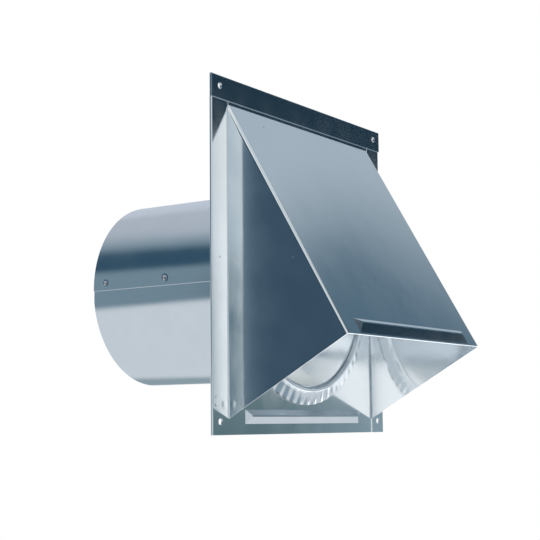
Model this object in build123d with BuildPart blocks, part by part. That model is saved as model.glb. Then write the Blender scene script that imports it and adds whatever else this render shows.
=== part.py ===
# Wall vent in folded galvanized sheet: wall plate, sloping hood, round duct and damper flap.
# All sizes are in millimetres. The origin lies on the duct's axis, in the plane of the wall.
# The hood looks along -Y, the duct runs along +Y into the wall, and +Z is up.
import os
from math import asin, cos, degrees, hypot, radians, sin, sqrt

from build123d import *

os.makedirs("parts", exist_ok=True)

# Sheet and folding
sheet = 0.7  # thickness of the galvanized sheet
lay = 0.05  # air left between sheets that are folded onto each other
fold_radius = 2.2  # outside of the folds between roof and cheeks
flange_fold = 1.4  # outside of the folds between hood and flange
hem_width = 6.0  # return of the side hems behind the plate

# Duct
duct_diameter = 152.4  # outside of the pipe, a nominal six inch duct
duct_length = 154.0  # from the front of the plate to the open end
hole_play = 0.3  # air round the pipe in the plate's hole
swage_height = 2.2  # bead that holds the pipe from behind the plate
swage_width = 4.2
swage_crest = 1.3  # flat top of the swage bead
lap_width = 14.0  # double sheet along the seam
joggle = 5.0  # run over which the sheet steps in under the seam
seam_drop = 1.5  # edge of the seam below the axis
punch_radius = 1.6  # pits that lock the seam
punch_taper = 25.0
punch_sides = 8  # the punch is ground to eight facets
punch_depth = 1.2
punch_bump_radius = 2.4  # sheet pressed inwards behind each pit
punch_rise = 4.2  # pits above the axis
punch_pitch = 61.2
punch_count = 3
punch_margin = 12.5  # last pit from the open end

# Collar mouth in front of the plate
seat_standoff = 1.75  # back of the damper seat from the plate
recess_step = 5.3  # bore to the wall of the recess
lip_width = 4.25  # across the rolled lip
lip_height = 7.0  # top of the lip from the plate
lip_bevel = 1.1  # turned-in shoulders of the lip
crease_height = 3.4  # foot of the lip from the plate
collar_flange = 9.25  # width of the crimped flange
flute_count = 60
flute_height = 1.2  # at the rim
flute_width = 7.0
flute_crest = 2.4  # flat along the top of a flute
flute_sink = 0.6  # height that a flute loses on its way to the lip
flute_inset = 1.4  # end of a flute beside the crease

# Damper flap and its wire
wire_diameter = 2.0
wire_fit = 0.05  # radial air between wire and curl
wire_below_bore = 1.2  # wire's axis below the top of the pipe
flap_seat_gap = 0.3
flap_side_gap = 1.3
curl_turn = 300.0  # degrees of the rolled edge round the wire

# Plate and hood
cheek_gap = 7.5  # collar flange to cheek
side_flange = 19.3  # cheek to the side of the plate
mouth_below_collar = 22.4  # collar flange to the foot of the plate
roof_above_collar = 29.8  # collar flange to the roof's upper fold
tab_shown = 2.7  # roof tab left bare below the strip
strip_height = 17.6
tab_top_gap = 0.6
hood_projection = 100.8
cheek_above_foot = 11.7
mouth_rise = 56.7  # roof's front edge above the cheeks' lower corners
flange_relief = 0.5  # flange's lower inner edge outside the cheek
screw_radius = 2.5
screw_side_inset = 9.7
screw_top_inset = 8.1
screw_foot_inset = 9.5
clinch_radius = 1.4
clinch_depth = 0.5
clinch_side_inset = 3.8
clinch_above_foot = 21.4
clinch_pitch = 5.1

# Pressed beads of plate and roof
bead_crest = 1.0  # flat top of a bead
sill_length = 162.0
sill_width = 10.4
sill_above_foot = 13.0
sill_height = 2.6
sill_end = 5.5  # slope at each end
sill_shift = 0.5
brow_length = 168.0
brow_width = 11.9
brow_edge_gap = 1.5  # bead to the roof's front edge
brow_height = 2.4
brow_end = 6.0
brow_shift = 1.8

# Levels in front of the wall
hem_front = sheet
plate_back = hem_front + lay
plate_front = plate_back + sheet
flange_back = plate_front + lay
flange_front = flange_back + sheet
strip_back = flange_front + lay
strip_front = strip_back + sheet

# Radii of the duct and the collar
duct_radius = duct_diameter / 2
recess_radius = duct_radius + recess_step
lip_radius = recess_radius + lip_width
rim_radius = lip_radius + collar_flange

# Heights and widths of plate and hood
foot_z = -(rim_radius + mouth_below_collar)
roof_root_z = rim_radius + roof_above_collar
strip_foot_z = roof_root_z + tab_shown
plate_top_z = strip_foot_z + strip_height
cheek_foot_z = foot_z + cheek_above_foot
tip_z = cheek_foot_z + mouth_rise
tip_y = -(flange_front + hood_projection)
hood_width = 2 * (rim_radius + cheek_gap)
plate_width = hood_width + 2 * side_flange
top_fold_radius = (strip_front - plate_back) / 2
hem_fold_radius = flange_front / 2
hem_turn_x = plate_width / 2 - hem_fold_radius
roof_slope = (roof_root_z - tip_z) / hood_projection
mouth_slope = mouth_rise / hood_projection
roof_back_z = roof_root_z + sheet * roof_slope
mouth_back_z = cheek_foot_z - sheet * mouth_slope
roof_inside_z = roof_back_z - sheet * hypot(1, roof_slope)

screw_x = plate_width / 2 - screw_side_inset
screw_top_z = plate_top_z - screw_top_inset
screw_foot_z = foot_z + screw_foot_inset
screw_points = [(x, z) for x in (-screw_x, screw_x) for z in (screw_foot_z, screw_top_z)]

# Flap and wire
wire_radius = wire_diameter / 2
curl_radius = wire_radius + wire_fit + sheet
seat_front = plate_front + seat_standoff + sheet
flap_back = seat_front + flap_seat_gap
flap_front = flap_back + sheet
wire_level = flap_back + curl_radius
wire_z = duct_radius - wire_below_bore
flap_radius = recess_radius - flap_side_gap
curl_half = sqrt(flap_radius**2 - (wire_z + curl_radius) ** 2)
lip_middle = recess_radius + lip_width / 2
wire_half = sqrt(lip_middle**2 - wire_z**2)


def bead_form(face, foot, crest_size, crest_shift, height):
    """Ridge with sloping ends that a press raises from a flat face."""
    with BuildPart() as bead:
        with BuildSketch(face):
            Rectangle(*foot)
        with BuildSketch(face.offset(height)):
            with Locations((0, crest_shift)):
                Rectangle(*crest_size)
        loft(ruled=True)
    return bead.part


def polar(radius, angle):
    """Point at a radius and an angle in degrees."""
    return (radius * cos(radians(angle)), radius * sin(radians(angle)))


# Beads: the outer form is added and the same form, one sheet lower, is taken away behind it
sill_face = Plane(origin=(0, -plate_front, foot_z + sill_above_foot), x_dir=(1, 0, 0), z_dir=(0, -1, 0))
sill_foot = (sill_length, sill_width)
sill_top = (sill_length - 2 * sill_end, bead_crest)
sill_outer = bead_form(sill_face, sill_foot, sill_top, sill_shift, sill_height)
sill_inner = bead_form(sill_face.offset(-sheet), sill_foot, sill_top, sill_shift, sill_height)

brow_middle = brow_edge_gap + brow_width / 2
up_roof = Vector(0, 1, roof_slope).normalized()
brow_face = Plane(
    origin=Vector(0, tip_y, tip_z) + up_roof * brow_middle, x_dir=(1, 0, 0), z_dir=(0, -roof_slope, 1)
)
brow_foot = (brow_length, brow_width)
brow_top = (brow_length - 2 * brow_end, bead_crest)
brow_outer = bead_form(brow_face, brow_foot, brow_top, brow_shift, brow_height)
brow_inner = bead_form(brow_face.offset(-sheet), brow_foot, brow_top, brow_shift, brow_height)

# Wall plate: flat sheet whose top edge is folded down over the hood's tab
with BuildPart() as back_plate:
    with BuildSketch(Plane.XZ.offset(plate_back)):
        with Locations((0, foot_z)):
            Rectangle(2 * hem_turn_x, strip_foot_z - foot_z, align=(Align.CENTER, Align.MIN))
        with Locations((0, strip_foot_z)):
            upper = plate_top_z - top_fold_radius - strip_foot_z
            Rectangle(plate_width, upper, align=(Align.CENTER, Align.MIN))
        Circle(duct_radius + hole_play, mode=Mode.SUBTRACT)
    extrude(amount=sheet)
    with BuildSketch(Plane.YZ.offset(-plate_width / 2)):
        with BuildLine():
            rise = Line((-plate_back, strip_foot_z), (-plate_back, plate_top_z - top_fold_radius))
            turn = JernArc(rise @ 1, rise % 1, top_fold_radius, 180)
            Line(turn @ 1, (-strip_front, strip_foot_z))
            offset(amount=sheet, side=Side.LEFT)
        make_face()
    extrude(amount=plate_width)
    add(sill_outer)
    add(sill_inner, mode=Mode.SUBTRACT)
    with BuildSketch(Plane.XZ):
        with Locations(*screw_points):
            Circle(screw_radius)
    extrude(amount=strip_front + sheet, mode=Mode.SUBTRACT)

# Hood: a wedge of roof and cheeks, open to the wall and downwards, with a flange folded from it
with BuildPart() as hood:
    with BuildSketch(Plane.YZ.offset(-hood_width / 2)):
        corners = [(-flange_back, roof_back_z), (tip_y, tip_z), (-flange_back, mouth_back_z)]
        Polygon(*corners, align=None)
    extrude(amount=hood_width)
    roof = hood.faces().sort_by(Axis.Z)[-1]
    fillet(roof.edges().filter_by(Axis.X, reverse=True), radius=fold_radius)
    wall_side = hood.faces().sort_by(Axis.Y)[-1]
    mouth = hood.faces().sort_by(Axis.Z)[0]
    offset(amount=-sheet, openings=[wall_side, mouth])
    with BuildSketch(Plane.XZ.offset(flange_back)):
        tab_top_z = plate_top_z - sheet - tab_top_gap
        with Locations((0, foot_z)):
            Rectangle(2 * hem_turn_x, tab_top_z - foot_z, align=(Align.CENTER, Align.MIN))
            below = cheek_foot_z - foot_z
            inside = roof_inside_z - foot_z
            wide = hood_width + 2 * flange_relief
            narrow = hood_width - 2 * sheet
            Rectangle(wide, below, align=(Align.CENTER, Align.MIN), mode=Mode.SUBTRACT)
            Rectangle(narrow, inside, align=(Align.CENTER, Align.MIN), mode=Mode.SUBTRACT)
    extrude(amount=sheet)
    inner_folds = hood.edges().filter_by(Axis.Z).filter_by(
        lambda e: abs(e.center().Y + flange_back) < lay
        and abs(abs(e.center().X) - narrow / 2) < lay
    )
    fillet(inner_folds, radius=flange_fold)
    cove = flange_fold - sheet
    with BuildSketch(Plane.XY.offset(cheek_foot_z)):
        with Locations((hood_width / 2 - lay, -flange_front + lay)):
            Rectangle(cove + lay, cove + lay, align=(Align.MIN, Align.MAX))
        with Locations((hood_width / 2 + cove, -flange_front - cove)):
            Circle(cove, mode=Mode.SUBTRACT)
        mirror(about=Plane.YZ)
    extrude(amount=roof_root_z - fold_radius - cheek_foot_z)
    with BuildSketch(Plane.XY.offset(foot_z)):
        with BuildLine():
            run = Line((hem_turn_x - sheet, -flange_front), (hem_turn_x, -flange_front))
            bend = JernArc(run @ 1, run % 1, hem_fold_radius, 180)
            Line(bend @ 1, (plate_width / 2 - hem_width, 0))
            offset(amount=sheet, side=Side.LEFT)
        make_face()
        mirror(about=Plane.YZ)
    extrude(amount=strip_foot_z - lay - foot_z)
    add(brow_outer)
    add(brow_inner, mode=Mode.SUBTRACT)
    with BuildSketch(Plane.XZ):
        with Locations(*screw_points):
            Circle(screw_radius)
    extrude(amount=strip_front, mode=Mode.SUBTRACT)
    clinch_x = plate_width / 2 - clinch_side_inset
    clinch_z = foot_z + clinch_above_foot
    with BuildSketch(Plane.XZ.offset(flange_front)):
        with Locations((-clinch_x, clinch_z), (clinch_x, clinch_z)):
            RegularPolygon(clinch_radius, punch_sides)
        with Locations((-clinch_x, clinch_z + clinch_pitch), (clinch_x, clinch_z + clinch_pitch)):
            RegularPolygon(clinch_radius, punch_sides)
    extrude(amount=-clinch_depth, taper=punch_taper, mode=Mode.SUBTRACT)

# One flute of the crimped flange, in the collar's own axes: X outwards, Z to the front
crease = Vector(lip_radius - sheet, 0, plate_front + crease_height)
rim = Vector(rim_radius, 0, plate_front + lay)
flange_along = (rim - crease).normalized()
flange_face = Vector(-flange_along.Z, 0, flange_along.X)
flute_root = crease + flange_face * (sheet - flute_sink) + flange_along * flute_inset
flute_end = rim + flange_face * sheet
flute_run = flute_root - flute_end
with BuildPart() as flute:
    with BuildSketch(Plane(origin=flute_end, x_dir=(0, -1, 0), z_dir=flute_run)):
        half = flute_width / 2
        shoulder = (flute_crest / 2, flute_height)
        Polygon((-half, -lay), (half, -lay), shoulder, (-shoulder[0], flute_height), align=None)
    extrude(amount=flute_run.length)

# Duct: one turned section, with the lap seam along its left side
rear_y = duct_length - plate_front
swage_y = lay - plate_back
seat_y = -(plate_front + seat_standoff)
crest_y = -(plate_front + lip_height - sheet)
seam_angle = 180 + degrees(asin(seam_drop / duct_radius))
lap_angle = seam_angle - degrees(lap_width / duct_radius)
joggle_angle = seam_angle + degrees(joggle / duct_radius)
seam_front_y = swage_y + swage_width + sheet
punch_angle = 180 - degrees(asin(punch_rise / duct_radius))
punch_x, punch_z = polar(duct_radius, punch_angle)
punches = [
    Plane(origin=(punch_x, rear_y - punch_margin - i * punch_pitch, punch_z), z_dir=(punch_x, 0, punch_z))
    for i in range(punch_count)
]
with BuildPart(Plane.XZ) as duct_pipe:
    with BuildSketch(Plane.XY):
        with BuildLine():
            section = [
                (duct_radius, rear_y),
                (duct_radius, swage_y + swage_width),
                (duct_radius + swage_height, swage_y + (swage_width + swage_crest) / 2),
                (duct_radius + swage_height, swage_y + (swage_width - swage_crest) / 2),
                (duct_radius, swage_y),
                (duct_radius, seat_y),
                (recess_radius + sheet, seat_y),
                (recess_radius + sheet, crest_y + lip_bevel),
                (recess_radius + sheet + lip_bevel, crest_y),
                (lip_radius - sheet - lip_bevel, crest_y),
                (lip_radius - sheet, crest_y + lip_bevel),
                (lip_radius - sheet, -crease.Z),
                (rim_radius, -rim.Z),
            ]
            Polyline(*section)
            offset(amount=sheet, side=Side.RIGHT, kind=Kind.INTERSECTION)
        make_face()
    revolve(axis=Axis.Y)
    with BuildSketch(Plane.XZ.offset(-rear_y)):
        with BuildLine():
            under = CenterArc((0, 0), duct_radius - 2 * sheet, lap_angle, seam_angle - lap_angle)
            middle = CenterArc((0, 0), duct_radius - sheet / 2, lap_angle, joggle_angle - lap_angle)
            Line(under @ 0, middle @ 0)
            Polyline(under @ 1, polar(duct_radius - sheet, joggle_angle), middle @ 1)
        make_face()
    extrude(amount=rear_y - seam_front_y)
    with BuildSketch(Plane.XZ.offset(-rear_y)):
        seam_edge = [polar(duct_radius + sheet, seam_angle), polar(duct_radius - sheet, seam_angle)]
        seam_end = [polar(duct_radius, joggle_angle), polar(duct_radius + sheet, joggle_angle)]
        Polygon(*seam_edge, *seam_end, align=None)
    extrude(amount=rear_y - seam_front_y, mode=Mode.SUBTRACT)
    for punch in punches:
        with BuildSketch(punch.offset(-sheet)):
            RegularPolygon(punch_bump_radius, punch_sides)
        extrude(amount=-punch_depth)
        with BuildSketch(punch):
            RegularPolygon(punch_radius, punch_sides)
        extrude(amount=-punch_depth, taper=punch_taper, mode=Mode.SUBTRACT)
    with PolarLocations(0, flute_count):
        add(flute.part)
    with BuildSketch(Plane.YZ.offset(-wire_half)):
        with Locations((-wire_level, wire_z)):
            Circle(wire_radius + wire_fit)
    extrude(amount=2 * wire_half, mode=Mode.SUBTRACT)

# Damper flap: flat disc that shuts on the seat, its upper edge rolled round the wire
cut_z = wire_z - wire_diameter
with BuildPart() as damper_flap:
    with BuildSketch(Plane.XZ.offset(flap_back)):
        Circle(flap_radius)
        with Locations((0, cut_z)):
            above = (Align.CENTER, Align.MIN)
            Rectangle(2 * flap_radius, flap_radius, align=above, mode=Mode.SUBTRACT)
    extrude(amount=sheet)
    with BuildSketch(Plane.YZ.offset(-curl_half)):
        with BuildLine():
            back_neck = Line((-flap_back, cut_z - sheet / 2), (-flap_back, wire_z))
            back_curl = JernArc(back_neck @ 1, back_neck % 1, curl_radius, curl_turn)
            front_neck = Line((-flap_front, cut_z - sheet / 2), (-flap_front, wire_z))
            front_curl = JernArc(front_neck @ 1, front_neck % 1, curl_radius - sheet, curl_turn)
            Line(back_neck @ 0, front_neck @ 0)
            Line(back_curl @ 1, front_curl @ 1)
        make_face()
    extrude(amount=2 * curl_half)

# Hinge wire, its ends held in the hollow of the rolled lip
with BuildPart() as hinge_wire:
    with BuildSketch(Plane.YZ.offset(-wire_half)):
        with Locations((-wire_level, wire_z)):
            Circle(wire_radius)
    extrude(amount=2 * wire_half)
    chamfer(hinge_wire.edges().filter_by(GeomType.CIRCLE), length=wire_radius / 4)

back_plate.part.label = "back_plate"
hood.part.label = "hood"
duct_pipe.part.label = "duct_pipe"
damper_flap.part.label = "damper_flap"
hinge_wire.part.label = "hinge_wire"
for piece in (back_plate, hood, duct_pipe, damper_flap, hinge_wire):
    export_step(piece.part, f"parts/{piece.part.label}.step")
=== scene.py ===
from math import ceil, cos, degrees, hypot, pi, radians, sin, sqrt, tan

import bmesh
import bpy
from mathutils import Matrix, Vector


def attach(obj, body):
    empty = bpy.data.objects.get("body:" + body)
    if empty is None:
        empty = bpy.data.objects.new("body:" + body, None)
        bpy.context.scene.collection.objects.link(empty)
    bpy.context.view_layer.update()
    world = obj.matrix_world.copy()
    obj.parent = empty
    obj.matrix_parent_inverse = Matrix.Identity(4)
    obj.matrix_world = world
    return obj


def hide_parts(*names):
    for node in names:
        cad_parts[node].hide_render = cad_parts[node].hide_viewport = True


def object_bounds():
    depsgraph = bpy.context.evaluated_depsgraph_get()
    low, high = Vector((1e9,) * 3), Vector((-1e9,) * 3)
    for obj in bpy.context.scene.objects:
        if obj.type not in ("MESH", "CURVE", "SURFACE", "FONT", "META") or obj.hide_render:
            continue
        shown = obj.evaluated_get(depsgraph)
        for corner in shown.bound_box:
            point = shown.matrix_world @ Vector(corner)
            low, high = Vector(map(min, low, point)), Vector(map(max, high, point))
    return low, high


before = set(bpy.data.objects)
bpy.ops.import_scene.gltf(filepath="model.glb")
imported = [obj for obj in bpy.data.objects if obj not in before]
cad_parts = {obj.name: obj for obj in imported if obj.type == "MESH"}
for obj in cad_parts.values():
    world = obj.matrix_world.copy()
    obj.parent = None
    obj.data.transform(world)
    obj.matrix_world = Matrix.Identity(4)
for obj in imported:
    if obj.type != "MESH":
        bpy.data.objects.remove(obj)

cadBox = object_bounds()
centre = (cadBox[0] + cadBox[1]) / 2
mm = 0.001
print("frame loaded:", len(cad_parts), "nodes")


def addObject(name, data):
    thing = bpy.data.objects.new(name, data)
    bpy.context.scene.collection.objects.link(thing)
    return thing


def meshObject(name, bm, material):
    mesh = bpy.data.meshes.new(name)
    bm.to_mesh(mesh)
    bm.free()
    mesh.materials.append(material)
    return addObject(name, mesh)


# shader nodes; wherever a value goes in, it is a number, a tone or another node's socket
def addNode(tree, kind, **values):
    node = tree.nodes.new(kind)
    for key, value in values.items():
        if key in node.inputs:
            node.inputs[key].default_value = value
        else:
            setattr(node, key, value)
    return node


def feed(tree, socket, value):
    if isinstance(value, bpy.types.NodeSocket):
        tree.links.new(value, socket)
    else:
        socket.default_value = value


def combine(tree, operation, *values):
    node = addNode(tree, "ShaderNodeMath", operation=operation)
    for socket, value in zip(node.inputs, values):
        feed(tree, socket, value)
    return node.outputs[0]


def multiply(tree, product, *factors):
    for factor in factors:
        product = combine(tree, "MULTIPLY", product, factor)
    return product


def vectorMath(tree, operation, *values):
    node = addNode(tree, "ShaderNodeVectorMath", operation=operation)
    for socket, value in zip(node.inputs, values):
        feed(tree, socket, value)
    return node.outputs["Value" if operation == "LENGTH" else "Vector"]


def remap(tree, source, low, high, newLow, newHigh):
    node = addNode(tree, "ShaderNodeMapRange", interpolation_type="SMOOTHSTEP")
    limits = {"From Min": low, "From Max": high, "To Min": newLow, "To Max": newHigh}
    for name, value in limits.items():
        node.inputs[name].default_value = value
    feed(tree, node.inputs["Value"], source)
    return node.outputs["Result"]


def mixTones(tree, share, first, second, label=""):
    # a Mix node set to colour takes its two tones in sockets 6 and 7 and gives the result in 2
    node = addNode(tree, "ShaderNodeMix", data_type="RGBA", label=label)
    feed(tree, node.inputs[0], share)
    for socket, tone in ((node.inputs[6], first), (node.inputs[7], second)):
        feed(tree, socket, (*tone, 1.0) if isinstance(tone, tuple) else tone)
    return node.outputs[2]


# galvanized sheet; scales are Blender's, heights in millimetres
sheetFinish = {
    "dark": (0.815, 0.845, 0.865),
    "light": (0.85, 0.875, 0.895),
    "roughness": (0.085, 0.12),
    "cloudScale": 38.0,
    "cloudDetail": 4.0,
    "cloudRange": (0.3, 0.7),  # the middle of the noise, stretched to full contrast
    "spangleScale": 260.0,
    "spangleLeast": 0.4,  # what the darkest crystal keeps of the light tone
    "grainScale": 1500.0,
    "grainDetail": 2.0,
    "grainBump": 0.12,
    "grainHeight": 0.02,
    "swellScale": 7.0,
    "swellDetail": 0.0,
    "swellHeight": 0.22,
    # the tone of the painted shade laid into pits and hollows
    "pitShadeTone": (0.05, 0.07, 0.09),
    "dents": [],
    "fold": None,
}


def dentShare(tree, where, dent):
    offset = vectorMath(tree, "SUBTRACT", where, Vector(dent["at"]) * mm)
    scaled = vectorMath(tree, "DIVIDE", offset, Vector(dent["size"]) * mm)
    return remap(tree, vectorMath(tree, "LENGTH", scaled), 0.0, 1.0, 1.0, 0.0)


def foldShare(tree, where, fold, run, flangeShare):
    # strongest on the cheek beside its fold at the plate, fading out towards the hood's front
    place = addNode(tree, "ShaderNodeSeparateXYZ")
    feed(tree, place.inputs[0], where)
    fading = combine(tree, "EXPONENT", multiply(tree, place.outputs["Y"], 1.0 / (run * mm)))
    side = combine(tree, "ABSOLUTE", place.outputs["X"])
    cheekEdge = [(fold["cheek"] + step) * mm for step in fold["cheekEdge"]]
    flangeEdge = [(fold["cheek"] + step) * mm for step in fold["flangeEdge"]]
    onCheek = remap(tree, side, *cheekEdge, 0.0, 1.0)
    onFlange = remap(tree, side, *flangeEdge, 1.0, flangeShare)
    return multiply(tree, fading, onCheek, onFlange)


def galvanizedSheet(name, changes):
    sheet = {**sheetFinish, **changes}
    material = bpy.data.materials.new(name)
    material.use_nodes = True
    tree = material.node_tree
    shader = tree.nodes["Principled BSDF"]
    shader.inputs["Metallic"].default_value = 1.0
    where = addNode(tree, "ShaderNodeTexCoord").outputs["Object"]

    cloud, grain, swell = (
        addNode(
            tree,
            "ShaderNodeTexNoise",
            Scale=sheet[kind + "Scale"],
            Detail=sheet[kind + "Detail"],
        )
        for kind in ("cloud", "grain", "swell")
    )
    spangle = addNode(tree, "ShaderNodeTexVoronoi", Scale=sheet["spangleScale"], feature="F1")
    for texture in (cloud, grain, swell, spangle):
        feed(tree, texture.inputs["Vector"], where)

    blotch = remap(tree, cloud.outputs[0], *sheet["cloudRange"], 0.0, 1.0)
    crystal = remap(tree, spangle.outputs["Color"], 0.0, 1.0, sheet["spangleLeast"], 1.0)
    colour = mixTones(tree, multiply(tree, blotch, crystal), sheet["dark"], sheet["light"])
    roughness = remap(tree, cloud.outputs[0], *sheet["cloudRange"], *sheet["roughness"])

    # all heights add up to one bump, and painted shade darkens the base colour in the small pits
    # and hollows
    height = multiply(tree, swell.outputs[0], sheet["swellHeight"])
    paintedPitShade = None
    for dent in sheet["dents"]:
        share = dentShare(tree, where, dent)
        height = combine(tree, "ADD", height, multiply(tree, share, dent["height"]))
        if "paintedPitShade" in dent:
            spot = multiply(tree, share, dent["paintedPitShade"])
            paintedPitShade = spot if paintedPitShade is None else combine(tree, "MAXIMUM", paintedPitShade, spot)
    if paintedPitShade is not None:
        colour = mixTones(tree, paintedPitShade, colour, sheet["pitShadeTone"])
    fold = sheet["fold"]
    if fold:
        sprung = foldShare(tree, where, fold, fold["run"], 1.0)
        height = combine(tree, "SUBTRACT", height, multiply(tree, sprung, fold["height"]))
        rubbed = foldShare(tree, where, fold, fold["rubbedRun"], 0.0)
        roughness = combine(tree, "ADD", roughness, multiply(tree, rubbed, fold["rubbed"]))
    feed(tree, shader.inputs["Base Color"], colour)
    feed(tree, shader.inputs["Roughness"], roughness)

    form = addNode(tree, "ShaderNodeBump", Strength=1.0, Distance=mm)
    fine = addNode(tree, "ShaderNodeBump", Strength=sheet["grainBump"])
    fine.inputs["Distance"].default_value = sheet["grainHeight"] * mm
    feed(tree, form.inputs["Height"], height)
    feed(tree, fine.inputs["Height"], grain.outputs[0])
    feed(tree, fine.inputs["Normal"], form.outputs["Normal"])
    feed(tree, shader.inputs["Normal"], fine.outputs["Normal"])
    return material


# small marks of use: place, reach and height in millimetres, and as a share the painted shade that
# darkens their hollows
hoodDents = [
    {"at": (-64.2, -8.5, 113.8), "size": (1.2, 1.2, 1.2), "height": -0.02, "paintedPitShade": 0.6},
    {"at": (-17.3, -76.1, -2.7), "size": (1.1, 1.1, 1.1), "height": -0.02, "paintedPitShade": 0.75},
    {"at": (59.7, -11.2, 109.1), "size": (1.0, 1.0, 1.0), "height": -0.02, "paintedPitShade": 0.4},
    {"at": (3.4, -33.2, 71.2), "size": (1.0, 1.0, 1.0), "height": -0.02, "paintedPitShade": 0.4},
    {"at": (-102.5, -58.2, 6.6), "size": (1.2, 1.2, 1.2), "height": -0.04},
    {"at": (-102.5, -5.9, -95.5), "size": (4.0, 3.2, 4.5), "height": 0.05},
    {"at": (-112.4, -2.2, 10.2), "size": (1.1, 1.1, 1.1), "height": -0.03, "paintedPitShade": 0.7},
    {"at": (-117.6, -2.2, -90.4), "size": (1.3, 1.3, 1.5), "height": -0.05, "paintedPitShade": 0.8},
    {"at": (-117.9, -2.2, -96.0), "size": (1.5, 1.3, 1.7), "height": -0.05, "paintedPitShade": 0.8},
]
# the plate's mark also has its hollow darkened with painted shade
plateDents = [
    {"at": (-16.7, -1.45, -111.1), "size": (1.0, 1.0, 1.0), "height": -0.02, "paintedPitShade": 0.7},
]
# painted shade: the floors of the duct's button punches darkened in the base colour, with no bump
punchFloorShade = [
    {"at": (-75.3, place, 4.8), "size": (reach, reach, reach), "height": 0.0, "paintedPitShade": 0.96}
    for place, reach in ((141.1, 2.6), (79.9, 3.0), (18.7, 2.6))
]
# the cheeks' sheet is slightly sprung and rubbed beside the folds at the plate, in millimetres
cheekFold = {
    "cheek": 102.5,  # the cheek's face, from the middle of the hood
    "cheekEdge": (-1.6, -0.9),  # from the cheek's face: the effect starts and is full
    "flangeEdge": (0.8, 1.6),  # from the cheek's face: it changes to the flange's share
    "run": 12.0,
    "height": 0.5,
    "rubbedRun": 14.0,
    "rubbed": 0.04,
}
flapTones = {"dark": (0.87, 0.885, 0.9), "light": (0.91, 0.92, 0.93), "roughness": (0.12, 0.17)}
wireTones = {"dark": (0.6, 0.61, 0.63), "light": (0.66, 0.67, 0.69)}
finishes = {
    "hood": galvanizedSheet("hoodSheet", {"dents": hoodDents, "fold": cheekFold}),
    "back_plate": galvanizedSheet("plateSheet", {"dents": plateDents}),
    "duct_pipe": galvanizedSheet("ductSheet", {"dents": punchFloorShade, "roughness": (0.11, 0.15)}),
    "damper_flap": galvanizedSheet("flapSheet", flapTones),
    "hinge_wire": galvanizedSheet("wireSteel", wireTones),
}
for name, finish in finishes.items():
    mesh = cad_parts[name].data
    mesh.materials.clear()
    mesh.materials.append(finish)
print("materials ready:", len(finishes))


# the duct with its lap seam, punches, swage bead, flap seat, rolled lip and crimped flange;
# millimetres and degrees, places along the duct are Y
duct = {
    "sheet": 0.7,
    "radius": 76.2,
    "rear": 152.55,
    "swageFoot": -0.7,
    "swageWidth": 4.2,
    "swageCrest": 1.3,
    "swageHeight": 2.2,
    "swageFootRound": 0.8,
    "swageRound": 0.9,
    "seat": -3.55,
    "seatRound": 0.9,
    "recessRadius": 81.5,
    "lipRadius": 85.75,
    "lipCrest": -8.1,
    "lipRound": 1.7,
    "crease": -4.85,
    "creaseRound": 1.0,
    "rimRadius": 95.0,
    "rim": -1.85,
    "flangeRings": ((4.0, 0.43), (1.2, 0.13), (0.0, 0.0)),  # inset from the rim, share of the fall
    "fluteCount": 60,
    "fluteHeight": 0.75,
    "fluteRoot": 0.15,
    "fluteStart": 0.8,
    "fluteRun": 1.5,
    "fluteForward": 0.95,
    "fluteOutward": 0.3,
    "deepestFlutes": -130.0,  # the crimps are pressed deepest low on the left
    "seamAngle": 181.13,
    "seamRound": 0.2,
    "joggle": 9.0,
    "lapTurn": 10.53,
    "lapFront": 4.2,
    "lapRamp": 1.0,
    "punches": ((140.05, 1.0), (78.85, 1.15), (17.65, 1.0)),  # place and relative size
    "punchAngle": 176.84,
    "punchRadius": 1.5,
    "punchDepth": 1.1,
    "punchEdge": 1.15,  # in punch radii, as the raised lip's place and width are
    "punchLip": 0.3,
    "punchLipPlace": 1.4,
    "punchLipWidth": 0.5,
    "punchRings": (0.56, 6),  # spacing and how many on each side of a punch's middle
    "punchColumns": (0.42, 7),
    "seamColumns": (-0.2, 0.0, 0.5, 0.85, 1.0),  # in shares of the seam's round
    "columns": 480,
    "columnGap": 0.15,  # an even column this near to a fine one is left out
    "arcStep": 18,
    "mergeGap": 0.0001,
    "sharpAngle": 40,
}


def roundedPath(corners):
    path = []
    for i, (x, y, radius) in enumerate(corners):
        here = Vector((x, y))
        if not radius:
            path.append(here)
            continue
        before = (Vector(corners[i - 1][:2]) - here).normalized()
        after = (Vector(corners[i + 1][:2]) - here).normalized()
        bend = pi - before.angle(after)
        middle = here + (before + after).normalized() * radius / cos(bend / 2)
        spoke = here + before * radius * tan(bend / 2) - middle
        hand = 1 if before.x * after.y - before.y * after.x < 0 else -1
        steps = max(2, ceil(degrees(bend) / duct["arcStep"]))
        for k in range(steps + 1):
            path.append(middle + Matrix.Rotation(hand * bend * k / steps, 2) @ spoke)
    return path


def offsetPath(path, distance):
    moved = []
    for i, here in enumerate(path):
        ahead = (path[min(i + 1, len(path) - 1)] - path[max(i - 1, 0)]).normalized()
        moved.append(here + Vector((ahead.y, -ahead.x)) * distance)
    return moved


def smooth(t):
    t = min(1.0, max(0.0, t))
    return t * t * (3 - 2 * t)


def raisedCosine(angle):
    return 0.5 + 0.5 * cos(radians(angle))


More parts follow.
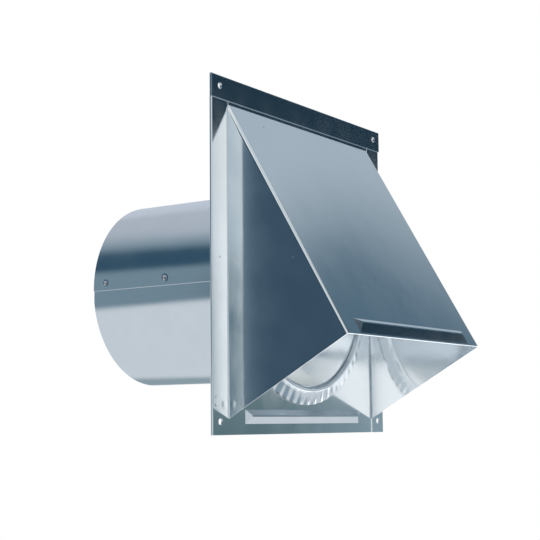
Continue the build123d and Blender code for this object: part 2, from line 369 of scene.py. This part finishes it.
def ductPath():
    # the middle of the sheet from the rear end to the flange's rim: radius, place, round
    half = duct["sheet"] / 2
    pipe, lip = duct["radius"] - half, duct["lipRadius"] - half
    recess = duct["recessRadius"] + half
    crest, crestHalf = pipe + duct["swageHeight"], duct["swageCrest"] / 2
    swageMiddle = duct["swageFoot"] + duct["swageWidth"] / 2
    fall = duct["crease"] - duct["rim"]
    spacing, count = duct["punchRings"]
    corners = [(pipe, duct["rear"], 0)]
    for place, size in duct["punches"]:
        corners += [(pipe, place - spacing * size * k, 0) for k in range(-count, count + 1)]
    corners += [
        (pipe, duct["lapFront"] + duct["lapRamp"], 0),
        (pipe, duct["lapFront"], 0),
        (pipe, duct["swageFoot"] + duct["swageWidth"], duct["swageFootRound"]),
        (crest, swageMiddle + crestHalf, duct["swageRound"]),
        (crest, swageMiddle - crestHalf, duct["swageRound"]),
        (pipe, duct["swageFoot"], duct["swageFootRound"]),
        (pipe, duct["seat"], duct["seatRound"]),
        (recess, duct["seat"], duct["seatRound"]),
        (recess, duct["lipCrest"], duct["lipRound"]),
        (lip, duct["lipCrest"], duct["lipRound"]),
        (lip, duct["crease"], duct["creaseRound"]),
    ]
    for inset, share in duct["flangeRings"]:
        corners.append((duct["rimRadius"] - inset, duct["rim"] + fall * share, 0))
    return roundedPath(corners)


def ductColumns():
    spacing, count = duct["punchColumns"]
    fine = [duct["punchAngle"] + spacing * k for k in range(-count, count + 1)]
    fine += [duct["seamAngle"] + duct["seamRound"] * share for share in duct["seamColumns"]]
    even = [360.0 * i / duct["columns"] for i in range(duct["columns"])]
    clear = [a for a in even if min(abs(a - f) for f in fine) > duct["columnGap"]]
    return sorted(clear + fine)


def seamStep(angle, outside):
    beyond = angle - duct["seamAngle"]
    if outside and 0 < beyond < duct["seamRound"]:
        return 1 - sqrt(1 - (beyond / duct["seamRound"]) ** 2)
    if 0 < beyond < duct["joggle"]:
        return 1 - smooth(beyond / duct["joggle"])
    if not outside and -duct["lapTurn"] < beyond <= 0:
        return 1.0
    return 0.0


def punchDrop(angle, y):
    across = radians(angle - duct["punchAngle"]) * duct["radius"]
    drop = 0.0
    for place, size in duct["punches"]:
        away = hypot(across, y - place) / (duct["punchRadius"] * size)
        lip = smooth(1 - abs(away - duct["punchLipPlace"]) / duct["punchLipWidth"])
        drop += duct["punchDepth"] * smooth(duct["punchEdge"] - away) - duct["punchLip"] * lip
    return drop


def ductPoint(point, angle, outside):
    radius, y = point
    if y > duct["lapFront"]:
        ramp = smooth((y - duct["lapFront"]) / duct["lapRamp"])
        radius -= duct["sheet"] * ramp * seamStep(angle, outside)
        radius -= punchDrop(angle, y)
    fluteStart = duct["lipRadius"] + duct["fluteStart"]
    run = radius - fluteStart
    if run > 0 and y > duct["lipCrest"]:
        share = smooth(run / (duct["rimRadius"] - fluteStart))
        lift = duct["fluteRoot"] + (duct["fluteHeight"] - duct["fluteRoot"]) * share
        lift *= smooth(run / duct["fluteRun"]) * raisedCosine(angle * duct["fluteCount"])
        lift *= raisedCosine(angle - duct["deepestFlutes"])
        y -= lift * duct["fluteForward"]
        radius += lift * duct["fluteOutward"] * share
    turn = radians(angle)
    return (radius * cos(turn) * mm, y * mm, radius * sin(turn) * mm)


def buildDuct():
    path, half = ductPath(), duct["sheet"] / 2
    section = [(point, True) for point in offsetPath(path, -half)]
    section += [(point, False) for point in reversed(offsetPath(path, half))]
    columns = ductColumns()

    # a flat grid from -0.5 to 0.5 is rolled up: its X gives the column, its Y the section's point
    bm = bmesh.new()
    bmesh.ops.create_grid(bm, x_segments=len(columns), y_segments=len(section), size=0.5)
    for vert in bm.verts:
        column = round((vert.co.x + 0.5) * len(columns)) % len(columns)
        point, outside = section[round((vert.co.y + 0.5) * len(section)) % len(section)]
        vert.co = ductPoint(point, columns[column], outside)
    bmesh.ops.remove_doubles(bm, verts=bm.verts, dist=duct["mergeGap"] * mm)
    bmesh.ops.recalc_face_normals(bm, faces=bm.faces)

    pipe = meshObject("ductPipe", bm, finishes["duct_pipe"])
    pipe.data.shade_smooth()
    pipe.data.set_sharp_from_angle(angle=radians(duct["sharpAngle"]))
    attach(pipe, "root")
    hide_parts("duct_pipe")
    print("ductPipe built:", len(pipe.data.polygons), "faces")


buildDuct()


# the studio; lengths in metres
studio = {
    "white": (1.04, 1.06, 1.05),
    "domeRadius": 3.0,
    "domeSubdivisions": 4,
    "floorBelow": 0.30,
    "floorRadius": 2.0,
    "floorSegments": 96,
    "floorTone": (0.66, 0.72, 0.78),
    "floorRoughness": 0.9,
    "ambient": 0.85,
    "keyPlace": (-0.9, -0.9, 1.6),
    "keySize": 1.2,
    "keyPower": 14.0,
    "mirrorings": 12,  # the hood's inside mirrors itself several times over
}
# What the metal mirrors: soft zones of a dome, each over the ones before it, in degrees.
# Azimuth runs from +Y towards +X, and the soft edges are left, right, foot and head.
# A tilt is the rise per degree of azimuth and the azimuth that it turns about.
# Some are brighter than white, because what they light is seen after several mirrorings.
zones = {
    "floorSweep": {"azimuth": (-181, 181), "elevation": (-91, -1), "soft": (0.5, 0.5, 0.5, 7),
                   "tone": (0.64, 0.69, 0.74)},
    "frontSkyRight": {"azimuth": (136, 181), "elevation": (-10, 89), "soft": (14, 0.5, 6, 12),
                      "tone": (0.58, 0.64, 0.69)},
    "frontSkyLeft": {"azimuth": (-181, -136), "elevation": (-10, 89), "soft": (0.5, 14, 6, 12),
                     "tone": (0.58, 0.64, 0.69)},
    "nearFloorRight": {"azimuth": (68, 108), "elevation": (-91, -17), "soft": (14, 10, 0.5, 8),
                       "tone": (1.7, 1.74, 1.76)},
    "nearFloorLeft": {"azimuth": (-181, -95), "elevation": (-91, -17), "soft": (0.5, 14, 0.5, 8),
                      "tone": (1.12, 1.15, 1.15)},
    "farFloor": {"azimuth": (98, 175), "elevation": (-19, -0.1), "soft": (12, 15, 9, 0.5),
                 "tone": (0.27, 0.37, 0.43)},
    "farFloorLow": {"azimuth": (125, 178), "elevation": (-44, -10), "soft": (12, 12, 10, 6),
                    "tone": (0.25, 0.33, 0.39)},
    "lowRight": {"azimuth": (76, 108), "elevation": (-18, -1), "soft": (8, 8, 4, 2),
                 "tone": (1.6, 1.62, 1.64)},
    "tabShade": {"azimuth": (89, 99), "elevation": (-37, -27), "soft": (2, 2, 2, 2),
                 "tone": (0.27, 0.37, 0.43)},
    "backSky": {"azimuth": (-90, 80), "elevation": (3, 84), "soft": (10, 10, 6, 20),
                "tone": (0.56, 0.61, 0.70)},
    "skyShade": {"azimuth": (-60, 40), "elevation": (36, 61), "soft": (20, 20, 8, 9),
                 "tone": (0.46, 0.51, 0.58)},
    "greyLeft": {"azimuth": (-100, 6), "elevation": (-16, 54), "soft": (4, 45, 6, 14),
                 "tone": (0.19, 0.275, 0.335)},
    "navyBand": {"azimuth": (-100, 0), "elevation": (17, 43), "soft": (4, 44, 7, 9),
                 "tone": (0.035, 0.085, 0.135)},
    "navySide": {"azimuth": (-115, -54.2), "elevation": (-22, 42), "soft": (10, 2.2, 8, 8),
                 "tone": (0.045, 0.085, 0.13)},
    "leftFloorGlow": {"azimuth": (-130, -56), "elevation": (-60, -9), "soft": (10, 5, 10, 5),
                      "tone": (1.5, 1.52, 1.53)},
    "lipGlow": {"azimuth": (-117, -86), "elevation": (-17, 3), "soft": (4, 10, 4, 5),
                "tone": (1.15, 1.18, 1.2)},
    "frontLeft": {"azimuth": (-152, -124.9), "elevation": (-20, 80), "soft": (8, 0.8, 10, 20),
                  "tone": (0.57, 0.66, 0.72)},
    "frontLeftLow": {"azimuth": (-152, -124.9), "elevation": (-8, 8), "soft": (8, 0.8, 2, 2),
                     "tone": (0.12, 0.21, 0.26)},
    "flangeGlow": {"azimuth": (-125.4, -116), "elevation": (-9, 12), "soft": (0.5, 4, 5, 5),
                   "tone": (1.2, 1.22, 1.22)},
    "lowBack": {"azimuth": (14, 68), "elevation": (-38, -6), "soft": (20, 8, 10, 5),
                "tone": (0.28, 0.36, 0.41)},
    "roofGrey": {"azimuth": (70, 118), "elevation": (13, 66), "soft": (10, 6, 4, 14),
                 "tone": (0.42, 0.50, 0.57)},
    "roofShade": {"azimuth": (94.9, 125), "elevation": (12, 38), "soft": (8.3, 8, 3, 8),
                  "tone": (0.10, 0.17, 0.23)},
    "navyRight": {"azimuth": (105, 168), "elevation": (11.5, 46), "soft": (8, 15, 1.4, 10),
                  "tone": (0.014, 0.037, 0.06), "tilt": (0.21, 123)},
    "horizon": {"azimuth": (117, 150), "elevation": (-7, 0.75), "soft": (9, 8, 2, 0.5),
                "tone": (0.115, 0.185, 0.21)},
}


def zoneCover(tree, azimuth, elevation, zone):
    (start, end), (foot, head) = zone["azimuth"], zone["elevation"]
    softLeft, softRight, softFoot, softHead = zone["soft"]
    if "tilt" in zone:
        rise, pivot = zone["tilt"]
        lean = multiply(tree, combine(tree, "SUBTRACT", azimuth, pivot), rise)
        elevation = combine(tree, "SUBTRACT", elevation, lean)
    return multiply(
        tree,
        remap(tree, azimuth, start, start + softLeft, 0, 1),
        remap(tree, azimuth, end - softRight, end, 1, 0),
        remap(tree, elevation, foot, foot + softFoot, 0, 1),
        remap(tree, elevation, head - softHead, head, 1, 0),
    )


def buildDome():
    material = bpy.data.materials.new("domeGlow")
    material.use_nodes = True
    tree = material.node_tree
    tree.nodes.clear()
    where = addNode(tree, "ShaderNodeTexCoord").outputs["Object"]
    axes = addNode(tree, "ShaderNodeSeparateXYZ")
    feed(tree, axes.inputs[0], vectorMath(tree, "NORMALIZE", where))
    turn = combine(tree, "ARCTAN2", axes.outputs["X"], axes.outputs["Y"])
    azimuth = multiply(tree, turn, 180 / pi)
    elevation = multiply(tree, combine(tree, "ARCSINE", axes.outputs["Z"]), 180 / pi)
    tone = studio["white"]
    for name, zone in zones.items():
        cover = zoneCover(tree, azimuth, elevation, zone)
        tone = mixTones(tree, cover, tone, zone["tone"], label=name)
    glow = addNode(tree, "ShaderNodeEmission", Strength=1.0)
    feed(tree, glow.inputs["Color"], tone)
    surface = addNode(tree, "ShaderNodeOutputMaterial").inputs["Surface"]
    feed(tree, surface, glow.outputs[0])

    bm = bmesh.new()
    bmesh.ops.create_icosphere(
        bm, subdivisions=studio["domeSubdivisions"], radius=studio["domeRadius"]
    )
    dome = meshObject("studioDome", bm, material)
    dome.location = centre
    dome.visible_camera = dome.visible_diffuse = False
    dome.visible_shadow = dome.visible_transmission = False


def buildFloor():
    paint = bpy.data.materials.new("floorPaint")
    paint.use_nodes = True
    shader = paint.node_tree.nodes["Principled BSDF"]
    shader.inputs["Base Color"].default_value = (*studio["floorTone"], 1.0)
    shader.inputs["Roughness"].default_value = studio["floorRoughness"]

    bm = bmesh.new()
    bmesh.ops.create_circle(
        bm, cap_ends=True, segments=studio["floorSegments"], radius=studio["floorRadius"]
    )
    floor = meshObject("floor", bm, paint)
    floor.location = (centre.x, centre.y, cadBox[0].z - studio["floorBelow"])
    floor.visible_glossy = False


def buildWorld():
    world = bpy.data.worlds.new("studioWorld")
    world.use_nodes = True
    bpy.context.scene.world = world
    tree = world.node_tree
    tree.nodes.clear()
    rays = addNode(tree, "ShaderNodeLightPath").outputs
    seen = combine(tree, "MAXIMUM", rays["Is Camera Ray"], rays["Is Glossy Ray"])
    seen = combine(tree, "MAXIMUM", seen, rays["Is Transmission Ray"])
    blend = addNode(tree, "ShaderNodeMixShader")
    feed(tree, blend.inputs[0], seen)
    for socket, strength in ((blend.inputs[1], studio["ambient"]), (blend.inputs[2], 1.0)):
        white = addNode(tree, "ShaderNodeBackground", Color=(1, 1, 1, 1), Strength=strength)
        feed(tree, socket, white.outputs[0])
    feed(tree, addNode(tree, "ShaderNodeOutputWorld").inputs["Surface"], blend.outputs[0])


def buildKeyLight():
    lamp = bpy.data.lights.new("keyLight", "AREA")
    lamp.shape = "DISK"
    lamp.size = studio["keySize"]
    lamp.energy = studio["keyPower"]
    key = addObject("keyLight", lamp)
    key.location = centre + Vector(studio["keyPlace"])
    key.rotation_euler = (centre - key.location).to_track_quat("-Z", "Y").to_euler()
    key.visible_glossy = False


buildDome()
buildFloor()
buildWorld()
buildKeyLight()
bpy.context.scene.cycles.glossy_bounces = studio["mirrorings"]
print("studio ready:", len(zones), "zones")


# the camera as fitted to the photograph; metres, degrees and pixels
cameraView = {
    "spot": (-0.84286, -0.54780, -0.11024),
    "yaw": 55.518,
    "pitch": 6.922,
    "roll": -0.541,
    "focalPixels": 1273.38,
    "imageSide": 540,
    "sensor": 36.0,
}


def buildCamera():
    camera = bpy.data.cameras.new("camera")
    camera.sensor_width = cameraView["sensor"]
    camera.lens = cameraView["focalPixels"] * cameraView["sensor"] / cameraView["imageSide"]
    yaw, pitch, roll = (radians(cameraView[key]) for key in ("yaw", "pitch", "roll"))
    ahead = Vector((sin(yaw) * cos(pitch), cos(yaw) * cos(pitch), sin(pitch)))
    aside = ahead.cross(Vector((0, 0, 1))).normalized()
    above = aside.cross(ahead)
    sideways = cos(roll) * aside + sin(roll) * above
    upwards = cos(roll) * above - sin(roll) * aside
    turn = Matrix((sideways, upwards, -ahead)).transposed().to_4x4()
    holder = addObject("camera", camera)
    holder.matrix_world = Matrix.Translation(cameraView["spot"]) @ turn
    bpy.context.scene.camera = holder


buildCamera()
bpy.context.scene.view_settings.view_transform = "Standard"
print("camera set")
